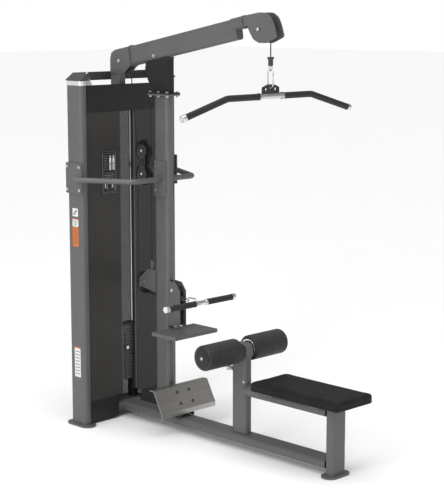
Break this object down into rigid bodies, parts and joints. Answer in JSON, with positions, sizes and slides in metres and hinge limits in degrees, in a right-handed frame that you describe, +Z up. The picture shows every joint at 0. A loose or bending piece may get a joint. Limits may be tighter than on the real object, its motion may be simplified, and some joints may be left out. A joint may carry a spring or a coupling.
{
  "type": "lat pulldown machine",
  "caption": "Gym pulldown and low row station: weight tower, inclined pulley boom, bent pulldown bar, row bar, footrest, foam knee rollers and padded seat.",
  "frame": {"origin": "centre of the footprint on the floor", "axes": "+X from the weight tower towards the seat's far end, +Y across the machine, +Z up"},
  "size_m": [1.8259, 1.2328, 2.2879],
  "materials": {
    "frame_paint": "fine metallic grey powder coat",
    "black_paint": "black powder coat",
    "cover": "smoked, finely perforated cover sheet",
    "cap": "moulded caps",
    "trim": "satin silver trim",
    "chrome": "polished",
    "zinc": "bright zinc plate",
    "stainless": "brushed stainless sheet",
    "iron": "painted cast plates",
    "pulley": "moulded black nylon",
    "rubber": "moulded rubber",
    "foam": "smooth closed-cell foam",
    "vinyl": "grained black upholstery vinyl",
    "cable": "black coated steel rope",
    "print": "printed instruction plate"
  },
  "bodies": {
    "frame": {"base_frame": "frame_paint", "uprights": "frame_paint", "top_caps": "cap", "front_shrouds": "cover", "end_panels": "black_paint", "bright_trim": "trim", "rear_shroud": "cover", "placard": "print", "top_beam": "frame_paint", "guide_rods": "chrome", "rod_buffers": "rubber", "lower_plates": "iron", "mast": "frame_paint", "upper_mast": "black_paint", "boom": "frame_paint", "rear_housing": "frame_paint", "guide_bracket": "frame_paint", "row_housing": "frame_paint", "frame_axles": "zinc", "grab_rails": "frame_paint", "rail_brackets": "frame_paint", "tray": "frame_paint", "footrest": "stainless", "knee_post": "frame_paint", "seat_frame": "frame_paint", "seat_pad": "vinyl", "bolts": "zinc", "fixed_cables": "cable", "block_upper_strands": "cable", "block_lower_strands": "cable", "stack_cable": "cable", "row_cable": "cable"},
    "stack": {"head_plate": "iron", "pinned_plates": "iron"},
    "selector_pin": {"selector_pin": "zinc"},
    "swivel_head": {"front_housing": "frame_paint", "swivel_cable": "cable", "lat_cable": "cable"},
    "front_pulley": {"front_pulley": "pulley"},
    "mast_pulley": {"mast_pulley": "pulley"},
    "rear_pulley": {"rear_pulley": "pulley"},
    "lat_stop": {"lat_cable_stop": "rubber"},
    "pulldown_bar": {"lat_snap_link": "zinc", "lat_bar": "chrome", "lat_grips": "rubber"},
    "pulley_block": {"block_frame": "frame_paint", "block_cable_turns": "cable"},
    "block_upper_pulley": {"block_upper_pulley": "pulley"},
    "block_lower_pulley": {"block_lower_pulley": "pulley"},
    "guide_pulley": {"guide_pulley": "pulley"},
    "row_upper_pulley": {"row_upper_pulley": "pulley"},
    "row_lower_pulley": {"row_lower_pulley": "pulley"},
    "row_stop": {"row_cable_stop": "rubber"},
    "row_handle": {"row_snap_link": "zinc", "row_bar": "chrome", "row_grips": "rubber"},
    "roller_carrier": {"roller_carrier": "frame_paint"},
    "left_roller": {"left_roller": "foam"},
    "right_roller": {"right_roller": "foam"},
    "knee_pin": {"knee_pin": "zinc"}
  },
  "joints": [
    {"name": "stack_lift", "type": "slide", "parent": "frame", "child": "stack", "axis": [0, 0, 1], "range_m": [0, 1.1], "deforming": ["stack_cable"]},
    {"name": "pin_pull", "type": "slide", "parent": "stack", "child": "selector_pin", "axis": [1, 0, 0], "range_m": [0, 0.072]},
    {"name": "head_swivel", "type": "hinge", "parent": "frame", "child": "swivel_head", "pos_m": [0.1208, 0, 2.23604], "axis": [0.9825, 0, 0.1864], "range_deg": [-20, 20]},
    {"name": "lat_pull", "type": "slide", "parent": "swivel_head", "child": "lat_stop", "axis": [0, 0, -1], "range_m": [0, 1.1], "deforming": ["lat_cable"]},
    {"name": "lat_bar_turn", "type": "hinge", "parent": "lat_stop", "child": "pulldown_bar", "pos_m": [0.32, 0, 1.95], "axis": [0, 0, 1], "continuous": true},
    {"name": "front_pulley_spin", "type": "hinge", "parent": "swivel_head", "child": "front_pulley", "pos_m": [0.263, 0, 2.205], "axis": [0, 1, 0], "continuous": true},
    {"name": "mast_pulley_spin", "type": "hinge", "parent": "frame", "child": "mast_pulley", "pos_m": [-0.517, 0, 2.057], "axis": [0, 1, 0], "continuous": true},
    {"name": "rear_pulley_spin", "type": "hinge", "parent": "frame", "child": "rear_pulley", "pos_m": [-0.801, 0, 2.023], "axis": [0, 1, 0], "continuous": true},
    {"name": "row_pull", "type": "slide", "parent": "frame", "child": "row_stop", "axis": [1, 0, 0], "range_m": [0, 0.8], "stiffness_N_per_m": 60, "springref_m": -1, "deforming": ["row_cable"]},
    {"name": "row_bar_turn", "type": "hinge", "parent": "row_stop", "child": "row_handle", "pos_m": [-0.272, 0, 0.74], "axis": [1, 0, 0], "range_deg": [-90, 90]},
    {"name": "block_drop", "type": "slide", "parent": "frame", "child": "pulley_block", "axis": [0, 0, -1], "range_m": [0, 0.4], "deforming": ["block_upper_strands", "block_lower_strands"]},
    {"name": "block_upper_spin", "type": "hinge", "parent": "pulley_block", "child": "block_upper_pulley", "pos_m": [-0.632, 0, 1.534], "axis": [0, 1, 0], "continuous": true},
    {"name": "block_lower_spin", "type": "hinge", "parent": "pulley_block", "child": "block_lower_pulley", "pos_m": [-0.632, 0, 1.406], "axis": [0, 1, 0], "continuous": true},
    {"name": "guide_pulley_spin", "type": "hinge", "parent": "frame", "child": "guide_pulley", "pos_m": [-0.632, 0, 0.797], "axis": [0, 1, 0], "continuous": true},
    {"name": "row_upper_spin", "type": "hinge", "parent": "frame", "child": "row_upper_pulley", "pos_m": [-0.385, 0, 0.786], "axis": [0, 1, 0], "continuous": true},
    {"name": "row_lower_spin", "type": "hinge", "parent": "frame", "child": "row_lower_pulley", "pos_m": [-0.385, 0, 0.694], "axis": [0, 1, 0], "continuous": true},
    {"name": "roller_height", "type": "slide", "parent": "frame", "child": "roller_carrier", "axis": [0, 0, 1], "range_m": [0, 0.1]},
    {"name": "left_roller_spin", "type": "hinge", "parent": "roller_carrier", "child": "left_roller", "pos_m": [0.125, 0, 0.537], "axis": [0, 1, 0], "continuous": true},
    {"name": "right_roller_spin", "type": "hinge", "parent": "roller_carrier", "child": "right_roller", "pos_m": [0.125, 0, 0.537], "axis": [0, 1, 0], "continuous": true},
    {"name": "knee_pin_pull", "type": "slide", "parent": "frame", "child": "knee_pin", "axis": [-1, 0, 0], "range_m": [0, 0.015], "stiffness_N_per_m": 500, "springref_m": -0.004}
  ],
  "couplings": [
    {"joint": "lat_pull", "follows": "stack_lift", "ratio": 1},
    {"joint": "front_pulley_spin", "follows": "stack_lift", "rad_per_m": 17.544},
    {"joint": "mast_pulley_spin", "follows": "stack_lift", "rad_per_m": 17.544},
    {"joint": "rear_pulley_spin", "follows": "stack_lift", "rad_per_m": 17.544},
    {"joint": "block_upper_spin", "follows": "stack_lift", "rad_per_m": -17.544},
    {"joint": "block_drop", "follows": "row_pull", "ratio": 0.5},
    {"joint": "block_lower_spin", "follows": "row_pull", "rad_per_m": -8.7719},
    {"joint": "guide_pulley_spin", "follows": "row_pull", "rad_per_m": -17.544},
    {"joint": "row_upper_spin", "follows": "row_pull", "rad_per_m": -21.739},
    {"joint": "row_lower_spin", "follows": "row_pull", "rad_per_m": 21.739}
  ]
}
